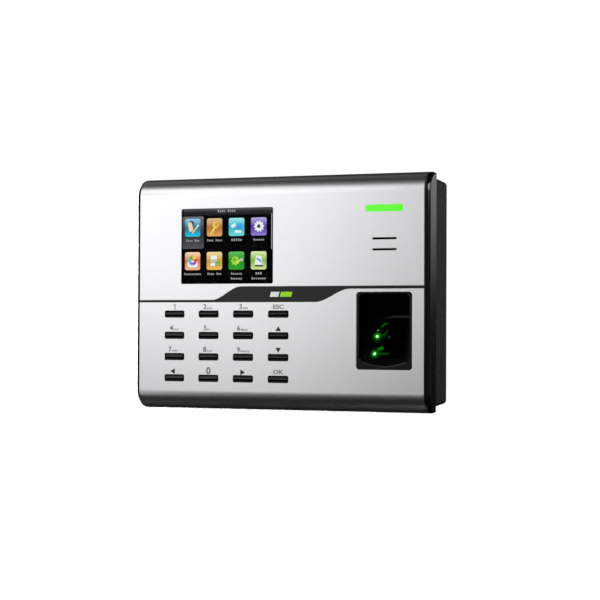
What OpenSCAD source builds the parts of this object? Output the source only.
// Wall-mounted fingerprint terminal with a colour display and a 16-key keypad.
// +X is the right-hand side as the user sees it, +Z is up and the front faces -Y.
// The origin is the centre of the wall plate's four screw holes, on the wall.

/* [Overall] */
// Width over the side caps
body_w = 190.8; // [190:0.1:194]
// Height over the curved top and bottom
body_h = 141.2; // [140.6:0.1:144]
// Depth from the wall to the silver front
body_d = 38; // [38:0.1:42]

/* [Front shell] */
// Depth of the front shell, from the silver front to the seam
front_d = 13.6; // [13.4:0.1:13.8]
// Width of the chamfered black cap at each side
cap_w = 2.9; // [2.5:0.1:3.2]
// Half height of the flat part of the front
flat_half_h = 59; // [58:0.1:60]
// Thickness of the silver fascia sheet
fascia_t = 1.2; // [1:0.05:1.4]
// Thickness of the black front frame behind the fascia
frame_t = 2; // [1.8:0.1:2.2]
// Height of the black rim left bare along the top and bottom seams
rim_d = 1.7; // [1.4:0.1:2]

/* [Display] */
// Width of the visible screen, a 3-inch panel in the ratio 4 to 3
screen_w = 61; // [60:0.1:62]
// Height of the visible screen
screen_h = 45.7; // [45:0.1:46.5]
// Screen centre, from the middle of the front, to the right
screen_x = -33.5; // [-34:0.1:-33]
// Screen centre, from the middle of the front, upwards
screen_z = 28.4; // [28.2:0.1:29]

/* [Keypad] */
// Width of one keycap
key_w = 12.9; // [12:0.1:13.5]
// Height of one keycap
key_h = 3.9; // [3.6:0.1:4.4]
// Gap all round a keycap
key_gap = 0.25; // [0.2:0.01:0.35]
// Distance between key columns
key_pitch_x = 23.04; // [22.8:0.01:23.2]
// Distance between key rows
key_pitch_z = 12.98; // [12.7:0.01:13]
// Centre of the top left key, to the right
key_first_x = -68.4; // [-68.6:0.1:-68]
// Centre of the top left key, upwards
key_first_z = -12.8; // [-13:0.1:-12.6]
// How far a key can be pressed
key_travel = 1; // [0.5:0.05:1]

/* [Fingerprint reader] */
// Width of the opening in the fascia
reader_w = 34.7; // [34.5:0.1:35]
// Height of the opening in the fascia
reader_h = 45.6; // [45.4:0.1:46]
// Centre of the opening, to the right
reader_x = 67.9; // [67.5:0.1:68]
// Centre of the opening, upwards
reader_z = -22.5; // [-22.8:0.1:-22.3]
// Lean of the sensor glass, whose top is the deeper end
glass_tilt = 22.6; // [22:0.1:23]
// Radius of the finger groove in the lip under the glass
groove_r = 33.9; // [32:0.1:36]

/* [Indicator and speaker] */
// Length of the green light bar
bar_w = 23.3; // [22:0.1:24]
// Height of the green light bar
bar_h = 3.85; // [3.6:0.05:4.2]
// Centre of the light bar, upwards
bar_z = 49.2; // [48.8:0.1:50]
// Centre of the light bar and the sound slots, to the right
bar_x = 68; // [67.5:0.1:68.5]
// Length of a sound slot
slot_w = 15; // [14:0.1:16]
// Height of a sound slot
slot_h = 1.15; // [1:0.05:1.4]
// Height of the middle between the two sound slots
slots_z = 28.2; // [28:0.1:28.6]
// Distance between the two sound slots
slots_pitch = 6.4; // [6:0.1:7]

/* [Centre band] */
// Bottom of the band at its left end
band_low_z = -5.55; // [-5.7:0.05:-5.4]
// Top of the band at its right end
band_high_z = 3.65; // [3.5:0.05:3.8]
// Thickness of the line that the band narrows to at its left end
band_left_t = 1.15; // [1:0.05:1.4]
// Thickness of the line that the band narrows to at its right end
band_right_t = 1.42; // [1.2:0.02:1.6]
// Groove beside the band
band_gap = 0.12; // [0.1:0.01:0.2]

/* [Wall plate] */
// Width of the steel plate
plate_w = 150; // [146:1:152]
// Thickness of the steel plate
plate_t = 1.5; // [1.2:0.1:1.6]
// Distance between the wall screws, sideways
wall_pitch_x = 100; // [96:1:110]
// Distance between the wall screws, upwards
wall_pitch_z = 60; // [58:1:64]
// Radius of a wall screw hole
wall_hole_r = 2.25; // [2:0.05:2.5]
// Width of the cable opening
cable_w = 70; // [68:1:72]
// Height of the cable opening
cable_h = 40; // [38:1:42]

/* [Hidden] */
$fn = 48;

// Shared clearances
touch = 0.05;   // between parts that are assembled face to face
slide = 0.08;   // round a plunger that slides in a bore
over = 1;       // how far a cut runs past the face that it opens

// Depths behind the silver front, from front to back
frame_front = fascia_t;
frame_back = fascia_t + frame_t;
seam = front_d;
seal_t = 0.6;
housing_front = seam + seal_t;
housing_back = body_d - 0.3;
housing_t = 2.2;
recess_back_t = 2;
recess_d = 3.5;
recess_floor = body_d - recess_d;
plate_front = body_d - plate_t;

// Front shell
fascia_half_w = body_w / 2 - cap_w;
arc_steps = 12;
cavity_w = fascia_half_w * 2 - 3.4;
cavity_inset_z = 5;

// Rear housing
housing_w = body_w - 3;
housing_top = body_h / 2 - 2.7;
housing_bottom = -body_h / 2 + 3.1;
housing_taper = 1.7;
housing_edge_r = 1.2;

// Display stack
window_front = 0.3;
window_back = 1.95;
window_lip = 3;
gasket_t = 0.6;
lcd_front = window_back + touch;
lcd_t = 2;
lcd_edge = 1.8;
lcd_frame_front = frame_back + gasket_t + touch;
lcd_frame_t = 3;
lcd_margin = 4;

// Keypad stack
cap_proud = 0.5;
flange_front = frame_back + 0.1;
flange_t = 0.8;
flange_margin = 1;
keypad_board_front = 7.4;
keypad_board_t = 1.6;
mat_t = 1;
collar_front = flange_front + flange_t + key_travel + 0.1;
stem_r = 1.4;
stem_end = keypad_board_front - key_travel - 0.1;
keypad_x = key_first_x + 1.5 * key_pitch_x;
keypad_z = key_first_z - 1.5 * key_pitch_z;
keypad_w = 3 * key_pitch_x + key_w + 6;
keypad_h = 3 * key_pitch_z + key_h + 12;

// Fingerprint reader
reader_wall = 1.6;
guide_back = 15;
glass_w = 23;
glass_len = 26.5;
glass_low_y = 2.5;
glass_low_z = reader_z - 17;
glass_gap = 0.1;
glass_t = 2.2;
prism_d = 9;
prism_left = -6.4;
lamp_x = -8.4;
lamp_z = [5.0, 16.1];
lamp_r = 1.2;
lamp_tip = 3;
chamber_w = 30;
chamber_len = 31;

// Boards and posts
board_front = 17.4;
board_t = 1.6;
board_back = board_front + board_t;
board_x = -21;
board_w = 130;
board_h = 104;
post_r = 2.9;
post_dx = 61;
post_dz = 48;
pilot_r = 1.05;
case_screw_x = 86;
case_screw_z = 59.5;
case_screw_r = 1.5;
screw_seat = 27;

// Wall plate
plate_low = -60;
plate_high = 56;
hook_x = 45;
hook_z = 33;
lock_y = 32;
tamper_x = 62;
tamper_z = 40;

// ---- Placing and shaping helpers ----

// Depths are counted from the silver front, so every part is moved to the wall's frame here.
module from_front() {
    translate([0, -body_d, 0]) children();
}

// Extrudes a front view, drawn as [x, z], from depth y0 to depth y1.
module facing(y0, y1) {
    translate([0, y1, 0]) rotate([90, 0, 0]) linear_extrude(y1 - y0) children();
}

// Extrudes a side view, drawn as [depth, z], over width w centred on x.
module along_x(w, x = 0) {
    translate([x - w / 2, 0, 0]) rotate([90, 0, 90]) linear_extrude(w) children();
}

// A round bar along the depth, from y0 to y1.
module rod_y(r, y0, y1) {
    translate([0, y1, 0]) rotate([90, 0, 0]) cylinder(r = r, h = y1 - y0);
}

module rounded(w, h, r) {
    square([w - 2 * r, h], center = true);
    square([w, h - 2 * r], center = true);
    for (sx = [-1, 1], sz = [-1, 1])
        translate([sx * (w / 2 - r), sz * (h / 2 - r)]) circle(r);
}

module at(x, z) {
    translate([x, 0, z]) children();
}

module in_view(x, z) {
    translate([x, z]) children();
}

module corners(dx, dz) {
    for (sx = [-1, 1], sz = [-1, 1]) translate([sx * dx, 0, sz * dz]) children();
}

module block(x, y0, y1, z, w, h) {
    translate([x - w / 2, y0, z - h / 2]) cube([w, y1 - y0, h]);
}

// Repeats its child at the keypad board's four screws.
module at_keypad_screws() {
    for (side = [-1, 1], end = [-1, 1])
        at(keypad_x + side * key_pitch_x, keypad_z + end * (keypad_h / 2 - 2.6)) children();
}

// Side view of the front shell: a flat front, and quarter ellipses to the top and bottom.
function front_outline(inset_y, inset_z, back = front_d) =
    let (a = front_d - inset_y, b = body_h / 2 - flat_half_h - inset_z)
    let (rise = [for (i = [0 : arc_steps]) let (t = 90 * i / arc_steps)
        [front_d - a * cos(t), flat_half_h + b * sin(t)]])
    let (top = back > front_d ? concat(rise, [[back, rise[arc_steps][1]]]) : rise)
    concat(top, [for (i = [len(top) - 1 : -1 : 0]) [top[i][0], -top[i][1]]]);

// ---- The band's wavy edges ----

function ease(t) = let (u = max(0, min(1, t))) u * u * (3 - 2 * u);
band_steps = 14;
band_rise_x = [-43, -24];
band_drop_x = [24.5, 46.5];
band_top_left = band_low_z + band_left_t;
band_bottom_right = band_high_z - band_right_t;
function mix(a, b, t) = a + (b - a) * t;

function band_top_edge() = concat(
    [[-fascia_half_w, band_top_left]],
    [for (i = [0 : band_steps]) [
        mix(band_rise_x[0], band_rise_x[1], i / band_steps),
        mix(band_top_left, band_high_z, ease(i / band_steps))]],
    [[fascia_half_w, band_high_z]]);

function band_bottom_edge() = concat(
    [[-fascia_half_w, band_low_z]],
    [for (i = [0 : band_steps]) [
        mix(band_drop_x[0], band_drop_x[1], i / band_steps),
        mix(band_low_z, band_bottom_right, ease(i / band_steps))]],
    [[fascia_half_w, band_bottom_right]]);

function shifted(points, dz) = [for (p = points) [p[0], p[1] + dz]];
function reversed(points) = [for (i = [len(points) - 1 : -1 : 0]) points[i]];

module above(edge) {
    polygon(concat(edge, [[fascia_half_w, body_h], [-fascia_half_w, body_h]]));
}

module below(edge) {
    polygon(concat(edge, [[fascia_half_w, -body_h], [-fascia_half_w, -body_h]]));
}

// ---- Openings in the front view ----

module screen_opening(grow = 0) {
    in_view(screen_x, screen_z) rounded(screen_w + 2 * grow, screen_h + 2 * grow, 1);
}

module key_opening(col, row, grow = 0) {
    in_view(key_first_x + col * key_pitch_x, key_first_z - row * key_pitch_z)
        rounded(key_w + 2 * grow, key_h + 2 * grow, 0.8);
}

module key_openings() {
    for (col = [0 : 3], row = [0 : 3]) key_opening(col, row, key_gap);
}

module reader_opening(grow = 0) {
    in_view(reader_x, reader_z) rounded(reader_w + 2 * grow, reader_h + 2 * grow, 2);
}

module bar_opening(grow = 0) {
    in_view(bar_x, bar_z) rounded(bar_w + 2 * grow, bar_h + 2 * grow, 1.2);
}

module sound_slots() {
    for (s = [-1, 1]) in_view(bar_x, slots_z + s * slots_pitch / 2)
        rounded(slot_w, slot_h, 0.4);
}

// ---- Front shell ----

module side_cap() {
    steps = [[0, 0, 0], [0.55, 0.3, 0.1], [1, 1, 0.35]];
    hull() {
        for (s = steps)
            translate([fascia_half_w - 0.01 + s[0] * cap_w, 0, 0])
                rotate([90, 0, 90]) linear_extrude(0.01)
                    polygon(front_outline(s[1] * cap_w, s[2] * cap_w));
    }
}

module frame_posts() {
    translate([board_x, 0, 0]) corners(post_dx, post_dz) rod_y(post_r, frame_back - 0.1, board_front);
    corners(case_screw_x, case_screw_z) rod_y(3.6, 4, seam);
    at_keypad_screws() rod_y(1.9, frame_back - 0.1, keypad_board_front);
}

module frame_pilots() {
    translate([board_x, 0, 0]) corners(post_dx, post_dz) rod_y(pilot_r, 8, board_front + over);
    corners(case_screw_x, case_screw_z) rod_y(case_screw_r + touch, 6, seam + over);
    at_keypad_screws() rod_y(pilot_r, 4.2, keypad_board_front + over);
}

module front_frame() {
    color([0.05, 0.05, 0.055]) from_front() difference() {
        union() {
            difference() {
                union() {
                    along_x(2 * fascia_half_w) polygon(front_outline(frame_front, frame_front));
                    intersection() {
                        along_x(2 * fascia_half_w) polygon(front_outline(0, 0));
                        block(0, front_d - rim_d, front_d, 0, body_w, body_h + 2);
                    }
                    side_cap();
                    mirror([1, 0, 0]) side_cap();
                }
                along_x(cavity_w) polygon(front_outline(frame_back, cavity_inset_z, seam + over));
            }
            frame_posts();
        }
        frame_pilots();
        facing(0, frame_back + over) screen_opening(lcd_edge + touch);
        facing(0, lcd_front) screen_opening(window_lip + touch);
        facing(0, frame_back + over) key_openings();
        facing(0, frame_back + over) reader_opening();
        facing(0, frame_back + over) bar_opening(touch);
        facing(0, frame_back + over) sound_slots();
    }
}

module fascia_sheet() {
    difference() {
        intersection() {
            along_x(2 * fascia_half_w - 2 * touch) polygon(front_outline(0, 0));
            block(0, -over, front_d - rim_d - touch, 0, body_w, body_h + 2);
        }
        along_x(2 * fascia_half_w + over)
            polygon(front_outline(fascia_t - touch, fascia_t - touch, front_d + over));
    }
}

module upper_fascia() {
    color([0.82, 0.83, 0.84]) from_front() intersection() {
        fascia_sheet();
        facing(-over, front_d) difference() {
            above(shifted(band_top_edge(), band_gap));
            screen_opening();
            bar_opening(touch);
            sound_slots();
        }
    }
}

module lower_fascia() {
    color([0.8, 0.81, 0.82]) from_front() intersection() {
        fascia_sheet();
        facing(-over, front_d) difference() {
            below(shifted(band_bottom_edge(), -band_gap));
            key_openings();
            reader_opening();
        }
    }
}

module centre_band() {
    color([0.13, 0.13, 0.14]) from_front() facing(0.15, fascia_t - touch) intersection() {
        square([2 * fascia_half_w - 2 * touch, body_h], center = true);
        polygon(concat(band_top_edge(), reversed(band_bottom_edge())));
    }
}

// ---- Display ----

module display_window() {
    color([0.1, 0.1, 0.12]) from_front() {
        facing(frame_front + touch, window_back) screen_opening(window_lip);
        facing(window_front, frame_front + touch) screen_opening(-0.1);
    }
}

module display_gasket() {
    color([0.2, 0.2, 0.2]) from_front() facing(frame_back, frame_back + gasket_t) difference() {
        screen_opening(lcd_margin - 0.4);
        screen_opening(lcd_edge + 0.4);
    }
}

module lcd_panel() {
    color([0.15, 0.2, 0.3]) from_front()
        facing(lcd_front, lcd_front + lcd_t) screen_opening(lcd_edge);
}

module lcd_frame() {
    color([0.7, 0.71, 0.72]) from_front() difference() {
        facing(lcd_frame_front, lcd_frame_front + lcd_frame_t) screen_opening(lcd_margin);
        facing(0, lcd_front + lcd_t + touch) screen_opening(lcd_edge + touch);
    }
}

// ---- Indicator and speaker ----

module light_pipe() {
    color([0.35, 0.95, 0.2]) from_front() {
        facing(0.1, frame_back + touch) bar_opening();
        facing(frame_back + touch, frame_back + 1.1) bar_opening(1.6);
        for (s = [-1, 1]) at(bar_x + s * (bar_w / 2 - 0.8), bar_z) rod_y(1, frame_back + 1, 6.5);
    }
}

module led_board() {
    color([0.1, 0.35, 0.2]) from_front() facing(6.5 + touch, 7.6) bar_opening(3);
}

module status_leds() {
    color([0.9, 0.95, 0.85]) from_front()
        for (dx = [-5.5, 0, 5.5]) block(bar_x + dx, 5.4, 6.5, bar_z, 3.2, 1.6);
}

module speaker_cloth() {
    color([0.08, 0.08, 0.08]) from_front()
        facing(frame_back + touch, frame_back + 0.4) in_view(bar_x, slots_z) rounded(17, 10, 1);
}

module speaker_gasket() {
    color([0.15, 0.15, 0.15]) from_front() at(bar_x, slots_z) difference() {
        rod_y(14, frame_back + touch, frame_back + 1);
        rod_y(12, frame_back, frame_back + 2);
    }
}

module speaker() {
    front = frame_back + 1 + touch;
    color([0.25, 0.25, 0.27]) from_front() at(bar_x, slots_z) difference() {
        union() {
            rod_y(14, front, front + 2.4);
            rod_y(11.5, front + 2, front + 4.2);
            rod_y(8.5, front + 4, front + 7.4);
        }
        rod_y(11.8, front - over, front + 1.2);
    }
}

// ---- Fingerprint reader ----

glass_up_y = glass_low_y + glass_len * sin(glass_tilt);
glass_up_z = glass_low_z + glass_len * cos(glass_tilt);
reader_top = reader_z + reader_h / 2;
reader_low = reader_z - reader_h / 2;
lip_y = 2.2;
lip_z = reader_low + 5;
groove_w = 27.1;

// Places children on the sensor glass: x across it, z up it, and its face at depth 0.
module on_glass() {
    translate([reader_x, glass_low_y, glass_low_z]) rotate([-glass_tilt, 0, 0]) children();
}

// The slanted space that the finger enters, seen from the side.
function finger_space() = [
    [-over, reader_top - 0.9], [0.2, reader_top - 0.9],
    [glass_up_y - 1, glass_up_z + 2.1], [glass_up_y, glass_up_z + 0.2],
    [glass_low_y, glass_low_z],
    [-over, glass_low_z - (glass_low_y + over) / tan(glass_tilt)]
];

module finger_cut() {
    intersection() {
        along_x(reader_w - 2 * reader_wall, reader_x) polygon(finger_space());
        union() {
            block(reader_x, lip_y, guide_back + over, reader_z, reader_w, reader_h + 10);
            facing(-2 * over, lip_y + touch) in_view(reader_x, 0) {
                translate([-reader_w / 2, lip_z]) square([reader_w, reader_h]);
                intersection() {
                    translate([0, lip_z - 2.8 + groove_r]) circle(groove_r, $fn = 96);
                    translate([-groove_w / 2, lip_z - 5]) square([groove_w, 10]);
                }
            }
        }
    }
}

module finger_guide() {
    color([0.04, 0.04, 0.045]) from_front() difference() {
        union() {
            facing(0.2, guide_back) reader_opening(-0.1);
            facing(frame_back + touch, frame_back + 1.6) reader_opening(1.4);
        }
        finger_cut();
        // pocket for the prism and the chamber behind it
        on_glass() translate([-glass_w / 2 - touch, -0.4, -touch])
            cube([glass_w + 2 * touch, 30, glass_len + 2 * touch]);
        on_glass() translate([-chamber_w / 2 - touch, 2.2, -2.4])
            cube([chamber_w + 2 * touch, 30, chamber_len + 0.3]);
    }
}

module sensor_prism() {
    // a plate over the whole opening, and a prism block that leaves room for the lamps at its left
    color([0.55, 0.75, 0.6, 0.5]) from_front() on_glass() translate([0, glass_gap, 0]) {
        along_x(glass_w) square([glass_t, glass_len]);
        along_x(glass_w / 2 - prism_left, (glass_w / 2 + prism_left) / 2)
            polygon([[0, 0], [0, glass_len], [3, glass_len], [prism_d, glass_len * 0.55], [prism_d, 0]]);
    }
}

module sensor_leds() {
    color([0.6, 1, 0.5]) from_front() on_glass()
        for (z = lamp_z) translate([lamp_x, 0, z]) rod_y(lamp_r, lamp_tip, prism_d + 0.2 - touch);
}

module sensor_lens() {
    color([0.6, 0.65, 0.7]) from_front() on_glass()
        translate([0, 0, glass_len * 0.28]) {
            rod_y(3.2, prism_d + 1.2, prism_d + 3.6);
            rod_y(2.4, prism_d + 3.5, prism_d + 5);
        }
}

module sensor_housing() {
    color([0.1, 0.1, 0.1]) from_front() on_glass() difference() {
        block(0, 2.3, 16.5, chamber_len / 2 - 2.25, chamber_w, chamber_len);
        // seat for the prism and the lamps, and the lens tunnel
        block(0, 0, prism_d + 0.2, glass_len / 2, glass_w + 2 * touch, glass_len + 2 * touch);
        translate([0, 0, glass_len * 0.28]) rod_y(4.2, prism_d, 18);
    }
}

module sensor_board() {
    color([0.1, 0.35, 0.2]) from_front() on_glass()
        block(0, 16.5 + touch, 18.1, chamber_len / 2 - 2.25, chamber_w, chamber_len);
}

// ---- Keypad ----

module keycap(col, row) {
    color([0.06, 0.06, 0.065]) from_front() {
        facing(-0.2, flange_front + 0.1) key_opening(col, row);
        facing(-cap_proud, -0.2) key_opening(col, row, -0.4);
        facing(flange_front, flange_front + flange_t) key_opening(col, row, flange_margin);
        at(key_first_x + col * key_pitch_x, key_first_z - row * key_pitch_z)
            rod_y(stem_r, flange_front + 0.5, stem_end);
    }
}

module keypad_mat() {
    hole_r = stem_r + 0.5;
    color([0.35, 0.35, 0.37]) from_front() difference() {
        union() {
            facing(keypad_board_front - mat_t, keypad_board_front - touch)
                in_view(keypad_x, keypad_z) rounded(keypad_w - 2, keypad_h - 10, 2);
            for (col = [0 : 3], row = [0 : 3])
                at(key_first_x + col * key_pitch_x, key_first_z - row * key_pitch_z)
                    rod_y(hole_r + 0.5, collar_front, keypad_board_front - mat_t + touch);
        }
        for (col = [0 : 3], row = [0 : 3])
            at(key_first_x + col * key_pitch_x, key_first_z - row * key_pitch_z)
                rod_y(hole_r, collar_front - over, keypad_board_front + over);
    }
}

module keypad_board() {
    color([0.1, 0.35, 0.2]) from_front() difference() {
        facing(keypad_board_front, keypad_board_front + keypad_board_t)
            in_view(keypad_x, keypad_z) rounded(keypad_w, keypad_h, 1.5);
        at_keypad_screws() rod_y(1.2, 0, board_front);
    }
}

// Three flat cables: display, keypad and sensor, each folded back to the main board.
module flex_cables() {
    t = 0.25;
    low = screen_z - screen_h / 2 - lcd_margin;
    back = board_front - 0.1;
    color([0.75, 0.5, 0.2]) from_front() {
        along_x(22, screen_x) polygon([
            [lcd_frame_front + 1, low - 0.1], [lcd_frame_front + 1, low - 0.1 - t], [back, low - 0.1 - t],
            [back, low + 8], [back - t, low + 8], [back - t, low - 0.1]]);
        along_x(14, keypad_x) polygon([
            [9.1, -14], [9.1 + t, -14], [9.1 + t, -9 - t], [back, -9 - t],
            [back, -2], [back - t, -2], [back - t, -9], [9.1, -9]]);
        along_x(8, 38) polygon([
            [back - t, -30], [back, -30], [back, -22], [back - t, -22]]);
    }
}

// ---- Main board ----

module main_board() {
    color([0.08, 0.3, 0.18]) from_front() difference() {
        block(board_x, board_front, board_back, 0, board_w, board_h);
        translate([board_x, 0, 0]) corners(post_dx, post_dz) rod_y(1.3, 0, body_d);
    }
}

module pan_screw(r, head_r, head_t, seat, tip) {
    rod_y(r, tip, seat + 0.1);
    rod_y(head_r, seat, seat + head_t);
}

module board_screws() {
    color([0.72, 0.72, 0.74]) from_front() {
        translate([board_x, 0, 0]) corners(post_dx, post_dz)
            pan_screw(1, 2.2, 1.6, board_back, 11);
        at_keypad_screws()
                pan_screw(1, 2.2, 1.6, keypad_board_front + keypad_board_t, 4.6);
    }
}

// Processor, memory, storage, network controller and sound amplifier
module board_chips() {
    color([0.12, 0.12, 0.13]) from_front() {
        block(-62, board_back, board_back + 1.4, -6, 16, 16);
        block(-62, board_back, board_back + 1.1, -26, 11, 13);
        block(-44, board_back, board_back + 1.1, 32, 12, 18);
        block(-22, board_back, board_back + 2, 28, 9, 9);
        block(16, board_back, board_back + 1.5, 36, 6, 5);
    }
}

module lock_relay() {
    color([0.1, 0.2, 0.45]) from_front() block(32, board_back, board_back + 12, -36, 15, 19);
}

module coin_cell() {
    color([0.75, 0.75, 0.77]) from_front() at(-64, 30) rod_y(10, board_back + 1, board_back + 4.2);
}

module cell_holder() {
    color([0.1, 0.1, 0.1]) from_front() at(-64, 30) difference() {
        rod_y(11.6, board_back, board_back + 3.6);
        rod_y(10 + touch, board_back + 1 - touch, board_back + 5);
    }
}

jack_x = -21;
jack_z = 0;
jack_w = 16;
jack_back = 33.5;

module network_jack() {
    color([0.75, 0.76, 0.78]) from_front() difference() {
        block(jack_x, board_back, jack_back, jack_z, jack_w, 14);
        block(jack_x, board_back + 2.5, jack_back + over, jack_z, 12, 8);
        block(jack_x, board_back + 5, jack_back + over, jack_z - 5, 6, 3);
    }
}

module power_jack() {
    color([0.06, 0.06, 0.06]) from_front() translate([-4.5, 0, 0]) {
        difference() {
            block(0, board_back, 31, 0, 9, 11);
            rod_y(3.1, board_back + 3, 31 + over);
        }
        rod_y(1, board_back + 2.5, 29.5);
    }
}

module wiring_terminals() {
    poles = 5;
    pitch = 3.81;
    color([0.1, 0.45, 0.2]) from_front() for (z = [-7, 7]) difference() {
        block(17.5, board_back, 29, z, poles * pitch + 1, 8);
        for (i = [0 : poles - 1]) {
            x = 17.5 + (i - (poles - 1) / 2) * pitch;
            block(x, 22, 29 + over, z - 1.6, 2.4, 2.4);
            at(x, z + 2.2) rod_y(1.1, 26, 29 + over);
        }
    }
}

usb_x = -50;
usb_low = housing_bottom + 0.8;

module usb_socket() {
    color([0.76, 0.77, 0.79]) from_front() {
        difference() {
            block(usb_x, board_back, board_back + 6.6, usb_low + 7, 13.6, 14);
            block(usb_x, board_back + 0.4, board_back + 6.2, usb_low + 6.5 - over, 12.6, 13 + 2 * over - 1);
        }
        block(usb_x, board_back + 3.6, board_back + 5.2, usb_low + 7.3, 11, 12);
    }
}

module reset_switch() {
    color([0.2, 0.2, 0.2]) from_front() at(4.5, -14) difference() {
        block(0, board_back, board_back + 2.4, 0, 4.6, 4.6);
        rod_y(1.1 + slide, board_back + 0.4, board_back + 4);
    }
}

module reset_button() {
    color([0.85, 0.3, 0.2]) from_front() at(4.5, -14) rod_y(1.1, board_back + 1, board_back + 4);
}

// ---- Rear shell ----

// Side view of the rear housing, shrunk inwards by t; the rear edges are rounded.
function housing_outline(t, back) =
    let (r = housing_edge_r, z1 = housing_top - t, z0 = housing_bottom + t)
    let (end1 = z1 - housing_taper, end0 = z0 + housing_taper)
    concat(
        [[housing_front - (t > 0 ? over : 0), z1]],
        [for (a = [90 : -15 : 0]) [back - r + r * cos(a), end1 - r + r * sin(a)]],
        [for (a = [0 : -15 : -90]) [back - r + r * cos(a), end0 + r + r * sin(a)]],
        [[housing_front - (t > 0 ? over : 0), z0]]);

recess_w = plate_w + 4;
recess_low = plate_low - 2;
recess_high = plate_high + 2;
recess_z = (recess_low + recess_high) / 2;
recess_h = recess_high - recess_low;

module housing_seal() {
    color([0.12, 0.12, 0.13]) from_front() facing(seam + touch, housing_front - touch) difference() {
        rounded(housing_w - 1.2, housing_top - housing_bottom - 1.2, 2);
        rounded(housing_w - 3.6, housing_top - housing_bottom - 3.6, 2);
    }
}

module housing_shell() {
    difference() {
        intersection() {
            along_x(housing_w) polygon(housing_outline(0, housing_back));
            facing(0, body_d) translate([0, (housing_top + housing_bottom) / 2])
                rounded(housing_w, housing_top - housing_bottom, 2.5);
        }
        along_x(housing_w - 2 * housing_t)
            polygon(housing_outline(housing_t, housing_back - housing_t));
    }
}

module lock_pocket(grow, y0, y1) {
    translate([-8 - grow, y0, recess_low - 0.01]) cube([16 + 2 * grow, y1 - y0, 7 + grow]);
}

module rear_housing() {
    color([0.13, 0.13, 0.14]) from_front() difference() {
        union() {
            housing_shell();
            facing(recess_floor - recess_back_t, housing_back) in_view(0, recess_z)
                rounded(recess_w + 4, recess_h + 4, 2);
            lock_pocket(1.6, recess_floor - 8, recess_floor);
            corners(case_screw_x, case_screw_z) intersection() {
                rod_y(5, housing_front, housing_back - 0.1);
                block(0, housing_front, housing_back, 0, 15, 15);
            }
        }
        facing(recess_floor, body_d + over) in_view(0, recess_z) rounded(recess_w, recess_h, 3);
        lock_pocket(0, recess_floor - 6.4, recess_floor + over);
        // wiring well, hook slots, tamper hole and USB opening
        facing(recess_floor - 3, body_d) rounded(cable_w - 4, cable_h - 4, 2);
        for (s = [-1, 1]) block(s * hook_x, recess_floor - 3, body_d, hook_z - 0.5, 12, 5);
        at(tamper_x, tamper_z) rod_y(1.8 + slide, recess_floor - 3, body_d);
        block(usb_x, board_back - 0.6, board_back + 7.2, housing_bottom, 14.8, 8);
        // screw holes: four from the rear, one from below
        corners(case_screw_x, case_screw_z) {
            rod_y(case_screw_r + 0.2, housing_front - over, screw_seat + over);
            rod_y(3.2, screw_seat, body_d + over);
        }
        translate([0, lock_y, housing_bottom - over]) cylinder(r = 1.7, h = 8);
        translate([0, lock_y, housing_bottom - over]) cylinder(r = 3.1, h = 4.2);
    }
}

module case_screws() {
    color([0.72, 0.72, 0.74]) from_front()
        corners(case_screw_x, case_screw_z) pan_screw(case_screw_r, 2.8, 2.2, screw_seat, 7);
}

module tamper_switch() {
    color([0.1, 0.1, 0.11]) from_front() at(tamper_x, tamper_z) difference() {
        block(0, 24, recess_floor - recess_back_t - touch, 0, 12, 12);
        rod_y(1.8 + slide, 26, recess_floor);
    }
}

module tamper_plunger() {
    color([0.8, 0.8, 0.8]) from_front() at(tamper_x, tamper_z) rod_y(1.8, 28, plate_front - 0.2);
}

// ---- Wall plate ----

module plate_hook() {
    translate([-4, recess_floor - 4.4, 0]) cube([8, plate_front - recess_floor + 4.5, 1.5]);
    translate([-4, recess_floor - 4.4, 0]) cube([8, 1.5, 5]);
}

module wall_plate() {
    color([0.7, 0.71, 0.73]) from_front() difference() {
        union() {
            facing(plate_front, body_d) in_view(0, (plate_low + plate_high) / 2)
                rounded(plate_w, plate_high - plate_low, 3);
            for (s = [-1, 1]) at(s * hook_x, hook_z) plate_hook();
            block(0, recess_floor - 5.6, plate_front + 0.1, plate_low + 0.75, 13, 1.5);
        }
        facing(plate_front - over, body_d + over) rounded(cable_w, cable_h, 3);
        corners(wall_pitch_x / 2, wall_pitch_z / 2) rod_y(wall_hole_r, plate_front - over, body_d + over);
        translate([0, lock_y, plate_low - over]) cylinder(r = 1.55, h = 4);
    }
}

module locking_screw() {
    color([0.72, 0.72, 0.74]) from_front() translate([0, lock_y, housing_bottom + 1.1]) {
        cylinder(r = 2.8, h = 2.1);
        cylinder(r = 1.5, h = 9);
    }
}

front_frame();
upper_fascia();
lower_fascia();
centre_band();
display_window();
display_gasket();
lcd_panel();
lcd_frame();
light_pipe();
led_board();
status_leds();
speaker_cloth();
speaker_gasket();
speaker();
finger_guide();
sensor_prism();
sensor_leds();
sensor_lens();
sensor_housing();
sensor_board();
keycap(0, 0);  // key_1
keycap(1, 0);  // key_2
keycap(2, 0);  // key_3
keycap(3, 0);  // key_esc
keycap(0, 1);  // key_4
keycap(1, 1);  // key_5
keycap(2, 1);  // key_6
keycap(3, 1);  // key_up
keycap(0, 2);  // key_7
keycap(1, 2);  // key_8
keycap(2, 2);  // key_9
keycap(3, 2);  // key_down
keycap(0, 3);  // key_left
keycap(1, 3);  // key_0
keycap(2, 3);  // key_right
keycap(3, 3);  // key_ok
keypad_mat();
keypad_board();
flex_cables();
main_board();
board_screws();
board_chips();
lock_relay();
coin_cell();
cell_holder();
network_jack();
power_jack();
wiring_terminals();
usb_socket();
reset_switch();
reset_button();
housing_seal();
rear_housing();
case_screws();
tamper_switch();
tamper_plunger();
wall_plate();
locking_screw();
